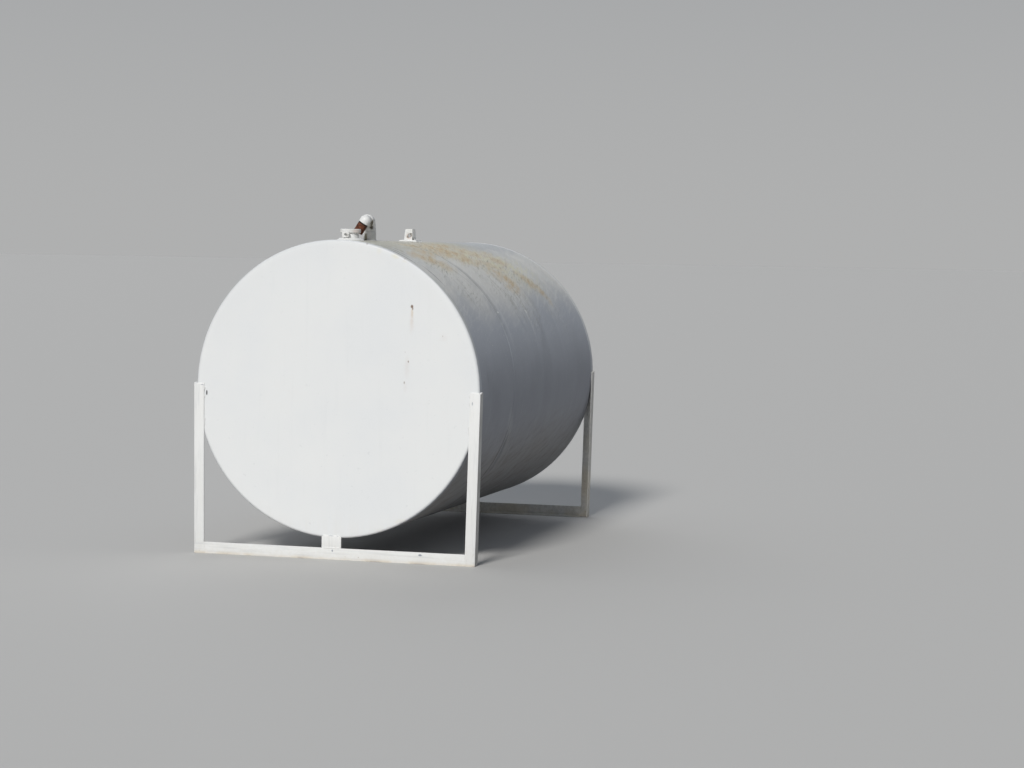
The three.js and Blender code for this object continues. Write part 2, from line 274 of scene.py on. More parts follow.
WAVE = 0.0013  # how far the plate's waves lie in at most
WAVES_ROUND, WAVES_ALONG = 1.7, 2.6  # how close together they lie
DRAW = 0.0013  # how far the ring weld draws the plate in
DRAW_REACH = 0.035
CREASES = [(0.20, 18, 0.0016), (0.43, 24, 0.0012), (0.01, 8, 0.001)]  # along, degrees up, depth
CREASE_REACH = 0.022
CREASE_TURN = 16  # degrees


def plate_depth(y, angle):
    """How far the rolled plate lies in from its true radius."""
    place = Vector((math.cos(angle) * WAVES_ROUND, y * WAVES_ALONG, math.sin(angle) * WAVES_ROUND))
    depth = WAVE * (0.5 + 0.5 * noise.noise(place))
    depth += DRAW * math.exp(-(((y - SEAM) / DRAW_REACH) ** 2))
    for along, up, deep in CREASES:
        turn = (math.degrees(angle) + 180 - up) % 360 - 180
        depth += deep * math.exp(-(((y - along) / CREASE_REACH) ** 2) - (turn / CREASE_TURN) ** 2)
    return depth


def plate_radii(y):
    return np.array([RADIUS - plate_depth(y, angle) for angle in angles])


def course(low, high):
    rings = [hoop(plate_radii(y), y) for y in stations(low, high, RING_STEP)]
    inside = RADIUS - PLATE - WAVE - DRAW
    return skin(rings + [hoop(inside, high), hoop(inside, low)], closed=True)


# The old brushed paint on the shell is chalky: cream on the crown and grey-white below it, with
# painted shade that makes it cooler and darker down the sides and underneath, where there is soil
# as well. Rust has bloomed along the upper sides, water has drawn dust and mould round the shell in
# fine streaks, and the fresh white of the heads laps onto both ends.
CROWN_CREAM = tone(0.48, 0.465, 0.39)
CROWN_GREY = tone(0.46, 0.475, 0.49)
CHALK = tone(0.64, 0.64, 0.62)
CHALK_PALE = tone(0.72, 0.71, 0.68)
# Painted shade: the chalk grows cooler and darker down the sides and underneath
CHALK_SIDE_SHADE = tone(0.44, 0.468, 0.52)
CHALK_LOW_SHADE = tone(0.25, 0.265, 0.305)
CHALK_UNDER_SHADE = tone(0.225, 0.22, 0.215)
SOIL_AND_SHADE = tone(0.16, 0.14, 0.115)
CREAM_TINT = tone(0.67, 0.64, 0.54)
RUST_TINT = tone(0.62, 0.50, 0.31)
RUST_BLOOM = tone(0.55, 0.38, 0.19)
RUST_BROWN = tone(0.21, 0.14, 0.085)
LICHEN = tone(0.74, 0.725, 0.56)
SMEAR_AND_SHADE = tone(0.17, 0.18, 0.205)
MOULD = tone(0.10, 0.10, 0.095)
MOULD_PALE = tone(0.33, 0.33, 0.29)
FLECK = tone(0.80, 0.81, 0.79)
FRESH_WHITE = tone(0.79, 0.80, 0.80)
BRUSH_ALONG, BRUSH_ROUND = 0.94, 0.34  # the strokes run 20 degrees off the tank's length
BRUSH_STRETCH = 0.2  # they are five times as long as wide
# Marks on the shell from one place to another, each place as (behind the front face, degrees up from
# the right), with the half-width in metres and the strength.
TINTS = [
    ((0.34, 72), (1.20, 70), 0.20, 1.0),
    ((0.62, 64), (1.55, 56), 0.17, 1.0),
    ((0.22, 60), (0.42, 56), 0.10, 0.9),
    ((1.00, 52), (1.55, 44), 0.12, 0.8),
    ((0.50, 106), (1.45, 110), 0.19, 1.0),
    ((1.00, 124), (1.60, 132), 0.13, 0.8),
]
BLOOMS = [
    ((0.60, 71), (0.94, 67), 0.15, 1.0),
    ((0.44, 76), (0.62, 73), 0.07, 0.8),
    ((0.34, 66), (0.54, 69), 0.08, 0.7),
    ((0.95, 70), (1.22, 66), 0.09, 0.7),
    ((0.72, 62), (0.98, 60), 0.075, 0.9),
    ((1.00, 58), (1.20, 55), 0.06, 0.6),
    ((0.20, 64), (0.42, 60), 0.085, 0.9),
    ((0.32, 58), (0.46, 57), 0.07, 0.6),
    ((1.18, 62), (1.46, 58), 0.08, 0.6),
    ((1.02, 52), (1.14, 44), 0.085, 0.9),
    ((0.96, 43), (1.12, 41), 0.045, 0.6),
    ((1.36, 50), (1.47, 41), 0.075, 0.8),
    ((1.44, 44), (1.52, 36), 0.06, 0.7),
    ((0.90, 50), (1.05, 47), 0.05, 0.5),
    ((1.25, 66), (1.42, 67), 0.05, 0.5),
    ((0.68, 77), (1.15, 75), 0.085, 0.8),
    ((0.60, 110), (0.95, 114), 0.11, 1.0),
    ((1.25, 118), (1.48, 124), 0.08, 0.8),
    ((0.26, 116), (0.40, 122), 0.05, 0.8),
    ((1.50, 132), (1.62, 140), 0.05, 0.8),
]
GREENS = [
    ((1.05, 60), (1.60, 52), 0.17, 1.0),
    ((0.80, 66), (1.30, 64), 0.10, 0.9),
    ((0.70, 62), (0.90, 60), 0.06, 0.8),
    ((0.90, 116), (1.50, 124), 0.13, 0.9),
]
# Soft dark bands: partly painted shade and reflections along the creases and beside the ring weld, and
# partly dark joint lines and streaks
SHADES = [
    ((0.555, 78), (0.555, 15), 0.034, 0.40),
    ((1.20, 44), (1.20, 28), 0.05, 0.17),
    ((1.20, 30), (1.04, 9), 0.05, 0.17),
    ((0.40, 60), (0.50, 42), 0.012, 0.28),
    ((0.10, 12), (0.34, -14), 0.09, 0.20),
    ((0.80, 36), (0.90, 18), 0.008, 0.28),
    ((0.042, 84), (0.042, 52), 0.015, 1.2),
    ((0.036, 52), (0.036, 20), 0.008, 0.60),
    ((0.10, 80), (0.092, 60), 0.012, 0.8),
    ((0.088, 60), (0.08, 42), 0.009, 0.8),
    ((0.165, 77), (0.15, 64), 0.01, 0.6),
    ((0.134, 9), (0.134, 2), 0.007, 0.55),
    ((0.20, 8), (0.20, 4), 0.007, 0.40),
    ((0.56, -14), (0.61, -44), 0.024, 1.20),
    ((0.70, -18), (0.76, -38), 0.008, 0.35),
    ((0.555, 165), (0.555, 102), 0.034, 0.40),
    ((1.15, 150), (1.00, 172), 0.06, 0.10),
]
PALES = [
    ((1.03, 50), (0.99, 12), 0.02, 0.35),
    ((0.84, 38), (0.92, 22), 0.006, 0.40),
    ((1.00, 34), (1.02, 24), 0.005, 0.35),
    ((0.60, 45), (0.60, 12), 0.022, 0.20),
    ((0.50, -8), (0.62, -26), 0.05, 0.14),
    ((1.70, 55), (1.85, 40), 0.06, 0.25),
    ((0.20, 57), (0.42, 50), 0.09, 0.25),
    ((0.62, 52), (0.66, 34), 0.03, 0.20),
    ((1.10, 57), (1.60, 53), 0.12, 0.30),
]
RAIN = [
    ((0.76, 48), (1.15, 30), 0.20, 1.0),
    ((0.22, 53), (0.42, 36), 0.15, 1.0),
    ((1.45, 40), (1.60, 22), 0.16, 0.5),
    ((0.85, 134), (1.20, 152), 0.20, 0.9),
    ((0.20, 130), (0.40, 146), 0.12, 0.6),
]
FLECKS = [((0.56, 31), (0.575, 31), 0.006, 1.0), ((1.00, 31), (1.02, 30), 0.007, 0.9)]


def new_finish(name):
    """A material, its Principled shader, and the place of each point of the surface."""
    finish = bpy.data.materials.new(name)
    finish.use_nodes = True
    place = Wire(finish.node_tree).node("TexCoord", output="Object")
    return finish, finish.node_tree.nodes["Principled BSDF"], place


def grain(place, scale, detail=3, stretch=None, roughness=0.5):
    """Cloudy noise over a place, finer where stretch is larger."""
    if stretch:
        place = place.vector("MULTIPLY", place, stretch)
    values = {"Vector": place, "Scale": scale, "Detail": detail, "Roughness": roughness}
    return place.node("TexNoise", None, values)


def from_ends(y):
    """How far a place lies in from the face of the nearer head."""
    return y.math("MINIMUM", y - FRONT_FACE, REAR_FACE - y)


def ripple(height, depth, under=None):
    """A bump of a depth in metres, laid over another bump."""
    values = {"Height": height, "Distance": depth, "Strength": 1}
    if under:
        values["Normal"] = under
    return height.node("Bump", None, values)


def smears(unrolled, marks, wobble, core):
    """Soft marks on the shell laid flat, the strongest at each place; the wobble makes them ragged."""
    most = None
    for start, end, half, strength in marks:
        ends = [Vector((behind, RADIUS * math.radians(up), 0)) for behind, up in (start, end)]
        length = (ends[1] - ends[0]).length / 2 + half
        along = (ends[1] - ends[0]).normalized()
        across = Vector((-along.y, along.x, 0))
        away = unrolled.vector("SUBTRACT", unrolled, (ends[0] + ends[1]) / 2)
        shares = {
            "X": unrolled.vector("DOT_PRODUCT", away, along / length, output="Value"),
            "Y": unrolled.vector("DOT_PRODUCT", away, across / half, output="Value"),
        }
        reach = unrolled.vector("LENGTH", unrolled.node("CombineXYZ", None, shares), output="Value")
        one = (reach + wobble).ease(1, core) * strength
        most = one if most is None else most.either(one)
    return most


def shell_paint():
    finish, shader, place = new_finish("shell_paint")
    x, y, z = place.parts()
    height = z - AXIS
    behind = y - FRONT_FACE
    turn = place.math("ARCTAN2", x, height)  # from the crown, and negative to the left
    down = turn * RADIUS
    unrolled = place.node("CombineXYZ", None, {"X": behind, "Y": (math.pi / 2 - turn) * RADIUS})

    # Grain that follows the strokes of the brush, that runs round the shell, and of no direction
    stroke = (y * BRUSH_ALONG - down * BRUSH_ROUND) * BRUSH_STRETCH
    brushed = place.node("CombineXYZ", None, {"X": stroke, "Y": y * BRUSH_ROUND + down * BRUSH_ALONG})
    blotch = grain(brushed, 36, 4, roughness=0.6)
    washed = grain(place.vector("ADD", brushed, (0, 0, 2)), 90, 4, roughness=0.62)
    patches = grain(place.vector("ADD", brushed, (0, 0, 5)), 46, 4, roughness=0.6)
    bands = grain(place, 1, 3, (0.6, 9, 0.6))
    streaks = grain(place, 1, 5, (3, 46, 3), 0.62)
    fine = grain(place, 1, 4, (16, 210, 16), 0.6)
    broken = grain(place, 1, 5, (9, 40, 9), 0.68)
    clouds = grain(place, 2.2, 4)
    mottle = grain(place, 22, 6, (1, 0.6, 1), 0.68)
    crumbs = grain(place, 75, 4, roughness=0.6)
    edges = grain(place.vector("ADD", brushed, (0, 0, 9)), 24, 6, roughness=0.68)
    ragged = edges * 2.2 + crumbs * 0.6 - 1.4

    # Chalk, painted cooler and darker downwards as shade, and the cream or grey crown
    color = blended((clouds + bands * 0.7 + blotch * 0.8 - 0.75).ease(0.35, 0.65), CHALK, CHALK_PALE)
    shade_drift = height + clouds * 0.30 + mottle * 0.06 - 0.18
    color = blended(shade_drift.ease(0.47, 0.22) * 0.95, color, CHALK_SIDE_SHADE)
    color = blended(shade_drift.ease(0.26, -0.14) * (0.70 + bands * 0.3), color, CHALK_LOW_SHADE)
    color = blended((height + clouds * 0.2 - 0.1).ease(-0.10, -0.40) * 0.7, color, CHALK_UNDER_SHADE)
    rearward = (behind + blotch * 0.4).ease(1.3, 1.8)
    crown = blended(rearward, CROWN_CREAM, CROWN_GREY)
    color = blended((height + blotch * 0.10 - 0.05).ease(0.53, 0.60) * 0.9, color, crown)
    clean = patches.ease(0.50, 0.36) * height.ease(0.15, 0.4)
    color = blended(clean * (0.30 - height.ease(0.50, 0.58) * 0.16), color, FLECK)
    color = blended(smears(unrolled, PALES, ragged * 0.4, 0.0), color, FLECK)
    # Dark bands, partly painted shade and reflections and partly joint lines and streaks
    shades = smears(unrolled, SHADES, ragged * 0.35, 0.0)
    color = blended(shades * (0.45 + streaks * 0.9), color, SMEAR_AND_SHADE)

    # Cream tints with specks of mould, lichen, and rust with its pits
    tint = smears(unrolled, TINTS, ragged * 0.5, 0.1)
    color = blended(tint * (0.40 + blotch.ease(0.40, 0.60) * 0.60), color, CREAM_TINT)
    color = blended(tint * washed.ease(0.50, 0.62) * 0.55, color, MOULD_PALE)
    color = blended(tint * washed.ease(0.60, 0.68) * 0.50, color, MOULD)
    color = blended(tint * washed.ease(0.45, 0.36) * 0.40, color, FLECK)
    green = smears(unrolled, GREENS, ragged * 0.5, 0.1) * patches.ease(0.45, 0.60)
    color = blended(green * 0.8, color, LICHEN)
    rust = smears(unrolled, BLOOMS, ragged * 0.7, 0.1)
    color = blended(rust * (0.40 + patches.ease(0.60, 0.42) * 0.45), color, RUST_TINT)
    bloom = rust * blotch.ease(0.56, 0.38)
    color = blended(bloom * (0.05 + crumbs * 0.75), color, RUST_BLOOM)
    pit = crumbs.ease(0.56, 0.68)
    color = blended((bloom + tint * 0.25) * pit * 0.6, color, RUST_BROWN)

    # What the rain has drawn down below the tints
    rain = smears(unrolled, RAIN, ragged * 0.5, 0.1)
    color = blended(rain * broken.ease(0.50, 0.64) * 0.45, color, MOULD_PALE)
    color = blended(rain * broken.ease(0.47, 0.34) * 0.30, color, FLECK)
    color = blended(rain * washed.ease(0.55, 0.64) * 0.50, color, MOULD_PALE)
    color = blended(rain * washed.ease(0.43, 0.35) * 0.50, color, FLECK)

    # The ring weld's dark line, soil and painted shade low down, fine streaks, and flecks of fresh
    # paint
    seam = ((y - SEAM).size() + mottle * 0.008).ease(0.012, 0.005)
    faded = height.ease(0.15, 0.32).either(height.ease(-0.10, -0.22))
    color = blended(seam * (0.10 + faded * 0.32) * (0.4 + clouds * 1.2), color, MOULD)
    # Soil and painted shade on the underside
    low = height.ease(-0.05, -0.42)
    soil_and_shade = low * (streaks.ease(0.38, 0.62) * 0.25 + blotch.ease(0.42, 0.7) * 0.7)
    color = blended(soil_and_shade.limit() * 0.6, color, SOIL_AND_SHADE)
    lines = fine.ease(0.56, 0.74) * streaks.ease(0.45, 0.7)
    color = blended(lines * 0.22, color, MOULD)
    pales = fine.ease(0.44, 0.28) * streaks.ease(0.6, 0.4)
    color = blended(pales * 0.15, color, FLECK)
    speck = grain(place, 130, 2).ease(0.69, 0.73) * height.ease(-0.1, 0.2)
    fleck = (smears(unrolled, FLECKS, ragged * 0.5, 0.4) + speck * 0.7).limit()
    color = blended(fleck, color, FLECK)

    # The fresh white that laps over from the heads
    lapped = height.ease(0.555, 0.585).either(height.ease(0.12, 0.04) * 0.35)
    lap = (from_ends(y) + mottle * 0.03 + clouds * 0.03).ease(0.078, 0.064) * lapped
    lap = lap.either((REAR_FACE - y + mottle * 0.02).ease(0.052, 0.044) * height.ease(0.0, 0.2))
    color = blended(lap * 0.6, color, FRESH_WHITE)
    chips = bloom * pit + fleck
    shader.inputs["Specular IOR Level"].default_value = 0.4
    connect(
        shader,
        Base_Color=color,
        Roughness=0.55 + clouds * 0.12 + bloom * 0.2 + soil_and_shade * 0.15 - lap * 0.1,
        Normal=ripple(chips, 0.0004, ripple(crumbs, 0.0002, ripple(grain(place, 420, 2), 0.00012))),
    )
    return finish


SHELL = shell_paint(), "shell_paint"
add("front_course", course(front_low.y, front_high.y), *SHELL, "shell_front_course")
add("rear_course", course(rear_low.y, rear_high.y), *SHELL, "shell_rear_course")


# Each joint of the shell is one run of arc weld, brushed over with the rest: a ring between the
# courses, a ring where each head's flange meets the shell, and a run along the underside of each
# course, to either side of its lowest line.
BEAD_SIDES = 10
RIPPLE_PITCH = 0.006
RIPPLES, LUMPS = 0.10, 0.22  # how much the ripples and the lumps swell a bead
LUMP_GRAIN = 60
TIP, TIP_GROWTH = 0.25, 0.35  # how big a bead is at its ends, and how fast it grows from point to point
SHELL_BEAD = {"wide": 0.007, "high": 0.0012}
RIM_BEAD = {"wide": 0.006, "high": 0.001}
RING_POINTS = 1536
LONG_STEP = 0.002
FRONT_LONG, REAR_LONG = -104, -76  # degrees up from the right


def neighbours(path, loop):
    """The points before and after each point of a path; an open end is its own neighbour."""
    longer = [path[-1], *path, path[0]] if loop else [path[0], *path, path[-1]]
    return zip(longer, longer[2:])


def bead(path, outward, wide, high, loop=False):
    """A weld bead along a path: a low oval with the ripples of the arc, its lower half in the metal."""
    path = [Vector(point) for point in path]
    outward = [Vector(way).normalized() for way in outward]
    turns = circle(BEAD_SIDES)
    rings = []
    run = 0
    for k, (before, beyond) in enumerate(neighbours(path, loop)):
        point = path[k]
        across = (beyond - before).normalized().cross(outward[k]).normalized()
        run += (point - before).length
        swell = 1 + RIPPLES * math.sin(math.tau * run / RIPPLE_PITCH)
        swell += LUMPS * noise.noise(point * LUMP_GRAIN)
        if not loop:
            from_end = min(k, len(path) - 1 - k)
            swell *= min(1, TIP + from_end * TIP_GROWTH)
        side = across * (wide / 2 * swell)
        up = outward[k] * (high * swell)
        rings.append([point + side * math.cos(turn) + up * math.sin(turn) for turn in turns])
    return skin(rings, closed=loop, sharp=60)


def joined(meshes):
    """Several meshes as one."""
    work = bmesh.new()
    for mesh in meshes:
        work.from_mesh(mesh)
        bpy.data.meshes.remove(mesh)
    mesh = bpy.data.meshes.new("joined")
    work.to_mesh(mesh)
    work.free()
    mesh.shade_smooth()
    mesh.set_sharp_from_angle(angle=math.radians(50))
    return mesh


def ring_weld(y, size):
    turns = circle(RING_POINTS)
    reach = np.interp(turns, angles, plate_radii(y), period=math.tau)
    path = [(r * math.cos(t), y, AXIS + r * math.sin(t)) for r, t in zip(reach, turns)]
    return bead(path, [(math.cos(t), 0, math.sin(t)) for t in turns], loop=True, **size)


def long_weld(low, high, up):
    turn = math.radians(up)
    outward = (math.cos(turn), 0, math.sin(turn))
    places = stations(low, high, LONG_STEP)
    reach = [RADIUS - plate_depth(y, turn) for y in places]
    path = [(r * outward[0], y, AXIS + r * outward[2]) for r, y in zip(reach, places)]
    return bead(path, [outward] * len(path), **SHELL_BEAD)


shell_welds = [
    ring_weld(SEAM, SHELL_BEAD),
    ring_weld(front_low.y, RIM_BEAD),
    ring_weld(rear_high.y, RIM_BEAD),
    long_weld(front_low.y, SEAM, FRONT_LONG),
    long_weld(SEAM, rear_high.y, REAR_LONG),
]
add("shell_welds", joined(shell_welds), *SHELL)


# The heads are flat discs of the same plate with the rim turned back over a small knuckle. Both are
# brushed over with clean white paint, which is worn off the back part of the rim. On the front one
# a rust spot with a run under it and a few small marks show through.
KNUCKLE = 0.009  # the bend's outer radius
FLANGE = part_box("front_head")[1].y - FRONT_FACE
FACE_WAVE = 0.0015  # how far the face lies in at most
FACE_WAVES = 2.3  # how close together its waves lie
FACE_FADE = 0.08  # width over which they fade out towards the rim
HUB = 0.006  # radius of the flat in the middle of the mesh
BEND_STEPS = 6


def head_plate(face, inward):
    """A head, from its face's place along the tank and the way its flange turns back."""
    flat = RADIUS - KNUCKLE
    inside = RADIUS - PLATE
    bend = KNUCKLE - PLATE

    def face_depth(radius):
        fade = max(0, min(1, (flat - radius) / FACE_FADE))
        reach = radius * FACE_WAVES
        spots = [(reach * math.cos(a), face, reach * math.sin(a)) for a in angles]
        return np.array([FACE_WAVE * fade * (0.5 + 0.5 * noise.noise(spot)) for spot in spots])

    rings = [hoop(r, face + inward * face_depth(r)) for r in stations(HUB, flat, RING_STEP)]
    for turn in np.radians(np.linspace(15, 90, BEND_STEPS)):
        depth = KNUCKLE * (1 - math.cos(turn))
        rings.append(hoop(flat + KNUCKLE * math.sin(turn), face + inward * depth))
    rings += [hoop(RADIUS, face + inward * depth) for depth in stations(KNUCKLE + 0.004, FLANGE, 0.005)]
    rings.append(hoop(inside, face + inward * FLANGE))
    for turn in np.radians(np.linspace(90, 0, BEND_STEPS)):
        depth = PLATE + bend * (1 - math.cos(turn))
        rings.append(hoop(inside - bend + bend * math.sin(turn), face + inward * depth))
    rings += [hoop(r, face + inward * (PLATE + 0.001)) for r in (flat / 2, HUB)]
    return skin(rings, sharp=40)


FRESH_COOL = tone(0.765, 0.78, 0.79)
WORN_GREY = tone(0.60, 0.615, 0.63)
RUST_RUN = tone(0.60, 0.44, 0.27)
RUST_DOT = tone(0.15, 0.07, 0.03)
RUST_STAIN = tone(0.62, 0.54, 0.51)
RIM_CREAM = tone(0.76, 0.73, 0.61)
# The black of a painted shadow
GAP_SHADOW_DARK = tone(0.03, 0.03, 0.035)
MARK_DEPTH = 0.05  # how far a mark reaches behind the face
# Marks on the front face as (right of the axis, above it, half-width, half-height, strength)
STAINS = [
    (0.32, 0.275, 0.016, 0.06, 0.22),
    (0.303, 0.10, 0.016, 0.06, 0.24),
    (0.296, 0.018, 0.012, 0.03, 0.16),
    (0.455, 0.222, 0.028, 0.026, 0.12),
]
RUNS = [(0.321, 0.318, 0.007, 0.03, 0.38), (0.32, 0.285, 0.01, 0.05, 0.12)]
CREAMS = [
    (0.25, 0.548, 0.028, 0.018, 0.8),
    (0.18, 0.572, 0.018, 0.028, 0.35),
    (0.29, 0.528, 0.02, 0.012, 0.5),
    (0.285, -0.53, 0.04, 0.016, 0.4),
    (0.20, -0.57, 0.03, 0.012, 0.3),
]
# Painted shadow in the gap where the left leg stands off the head, at its inner top
GAP_SHADOWS = [(-0.5655, -0.031, 0.004, 0.013, 0.95)]
DOTS = [
    (0.32, 0.345, 0.0075, 0.0085, 0.9),
    (0.324, 0.337, 0.0035, 0.0075, 0.7),
    (0.308, 0.122, 0.0035, 0.006, 0.7),
    (0.294, 0.16, 0.002, 0.004, 0.35),
    (0.292, 0.036, 0.004, 0.007, 0.5),
    (0.126, 0.594, 0.006, 0.004, 0.7),
    (0.452, 0.228, 0.0025, 0.005, 0.35),
    (0.287, 0.536, 0.006, 0.004, 0.6),
]


def spot(place, centre, half, wobble, core=0.35):
    """1 within a soft-edged spot about a centre and 0 outside; half is its half-size each way."""
    away = place.vector("DIVIDE", place.vector("SUBTRACT", place, centre), half)
    return (place.vector("LENGTH", away, output="Value") + wobble).ease(1, core)


def marked(color, place, mottle, marks, over, core=0.35):
    """A colour with marks in another laid over it at the front of the tank."""
    for across, up, wide, tall, strength in marks:
        centre = (across, FRONT_FACE, AXIS + up)
        one = spot(place, centre, (wide, MARK_DEPTH, tall), mottle * 0.9 - 0.45, core)
        color = blended(one * strength, color, over)
    return color


def face_paint():
    finish, shader, place = new_finish("head_paint")
    _, y, z = place.parts()
    height = z - AXIS
    clouds = grain(place, 3.1, 4)
    runs = grain(place, 1, 4, (34, 2, 2.4), 0.55)
    mottle = grain(place, 60, 4, roughness=0.6)
    color = blended(clouds.ease(0.35, 0.7), FRESH_WHITE, FRESH_COOL)
    color = blended(runs.ease(0.55, 0.8) * 0.10, color, WORN_GREY)

    layers = [
        (CREAMS, RIM_CREAM, 0.0),
        (STAINS, RUST_STAIN, 0.0),
        (RUNS, RUST_RUN, 0.0),
        (DOTS, RUST_DOT, 0.35),
        (GAP_SHADOWS, GAP_SHADOW_DARK, 0.5),
    ]
    for marks, over, core in layers:
        color = marked(color, place, mottle, marks, over, core)
    specks = grain(place, 150, 2).ease(0.71, 0.78) * 0.4
    smudges = grain(place, 44, 2).ease(0.66, 0.76) * (0.16 + height.ease(0.1, -0.4) * 0.16)
    color = blended((specks + smudges).limit(), color, WORN_GREY)

    # The rim, worn to the shell's old paint from its middle back, and a little less on the rear head.
    # There the old paint takes the shell's painted shade, cooler and darker downwards.
    off_axis = place.vector("MULTIPLY", place.vector("SUBTRACT", place, (0, 0, AXIS)), (1, 0, 1))
    reach = place.vector("LENGTH", off_axis, output="Value")
    rim = reach.ease(RADIUS - 0.012, RADIUS - 0.004)
    color = blended(rim * (0.35 + mottle * 0.3), color, WORN_GREY)
    kept = y.ease(0.5, 0.6) * 0.01
    worn = (from_ends(y) + mottle * 0.012 - kept).ease(0.008, 0.018) * rim * height.ease(0.57, 0.54)
    color = blended(worn * 0.9, color, blended(height.ease(0.45, 0.0), CHALK, CHALK_SIDE_SHADE))
    color = blended(worn * height.ease(-0.02, -0.16), color, CHALK_LOW_SHADE)
    foot = (height + RADIUS).ease(0.14, 0.0) * runs.ease(0.35, 0.65)
    color = blended(foot * 0.06, color, RUST_TINT)
    strokes = ripple(grain(place, 1, 3, (90, 90, 700), 0.55), 0.00018)
    connect(
        shader,
        Base_Color=color,
        Roughness=0.36 + clouds * 0.1 + worn * 0.12 + mottle * 0.06,
        Normal=ripple(grain(place, 260, 2), 0.0001, strokes),
    )
    return finish


HEAD = face_paint(), "head_paint"
add("front_head_plate", head_plate(FRONT_FACE, 1), *HEAD, "front_head")
add("rear_head_plate", head_plate(REAR_FACE, -1), *HEAD, "rear_head")


# Each end frame is 43 mm angle iron: two leaning legs, a bottom angle between them, and a flat post
# from it to the bottom of the head. All of it has rolled edges, a rounded root and thick white paint,
# yellowed at the foot. The sides that face away from the tank are painted darker as shade, and the rear
# frame is old and soiled paint, darkened further as painted shade.
EDGE = 0.0011  # rounding of a rolled edge
ROOT = 0.0042  # rounding inside the angle
JOIN = 1e-5  # points nearer than this are one
FLAT = 1  # degrees between faces that count as one
CORNER = 30  # degrees at an edge that gets rounded


def ordered(work):
    """A mesh with its points and faces sorted, because a bevel's come in another order each run."""
    points = sorted(work.verts, key=lambda point: point.co[:])
    number = {point: k for k, point in enumerate(points)}
    faces = [[number[point] for point in face.verts] for face in work.faces]
    mesh = bpy.data.meshes.new("ordered")
    mesh.from_pydata([point.co for point in points], [], sorted(faces, key=sorted))
    return mesh


def softened(node, edge=EDGE, root=ROOT):
    """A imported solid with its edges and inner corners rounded."""
    work = bmesh.new()
    work.from_mesh(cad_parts[node].data)
    bmesh.ops.remove_doubles(work, verts=work.verts, dist=JOIN)
    bmesh.ops.dissolve_limit(work, angle_limit=math.radians(FLAT), verts=work.verts, edges=work.edges)
    rounding = {"segments": 3, "profile": 0.5, "affect": "EDGES", "clamp_overlap": True}
    for size, inner in ((root, True), (edge, False)):
        picked = []
        for line in work.edges:
            if line.is_manifold and line.calc_face_angle() > math.radians(CORNER):
                if (line.calc_face_angle_signed() < 0) == inner:
                    picked.append(line)
        bmesh.ops.bevel(work, geom=picked, offset=size, **rounding)
    bmesh.ops.triangulate(work, faces=[face for face in work.faces if len(face.verts) > 4])
    mesh = ordered(work)
    work.free()
    return smoothed(mesh, 25)


FRAME_WHITE = tone(0.80, 0.803, 0.795)
FRAME_WARM = tone(0.785, 0.785, 0.772)
FRAME_OLD_AND_SHADE = tone(0.42, 0.415, 0.40)
FRAME_SOILED_AND_SHADE = tone(0.66, 0.64, 0.58)
FRAME_FOOT = tone(0.72, 0.63, 0.48)
FRAME_GREY = tone(0.50, 0.51, 0.53)
FRAME_RUST = tone(0.23, 0.12, 0.06)
FRAME_BLUE = tone(0.20, 0.23, 0.28)
# Marks on the front frame, as on the head. Those along the post's top at the head and over the left
# leg's top are painted shadow; the others are marks on the paint.
FRAME_MARKS_AND_SHADOWS = [
    (-0.006, -0.661, 0.0045, 0.0065, 0.85),
    (-0.012, -0.60, 0.016, 0.0022, 0.5),
    (0.016, -0.601, 0.007, 0.0022, 0.4),
    (0.37, -0.6615, 0.011, 0.006, 0.85),
    (0.582, -0.039, 0.0035, 0.01, 0.6),
    (-0.584, 0.003, 0.01, 0.003, 0.5),
]


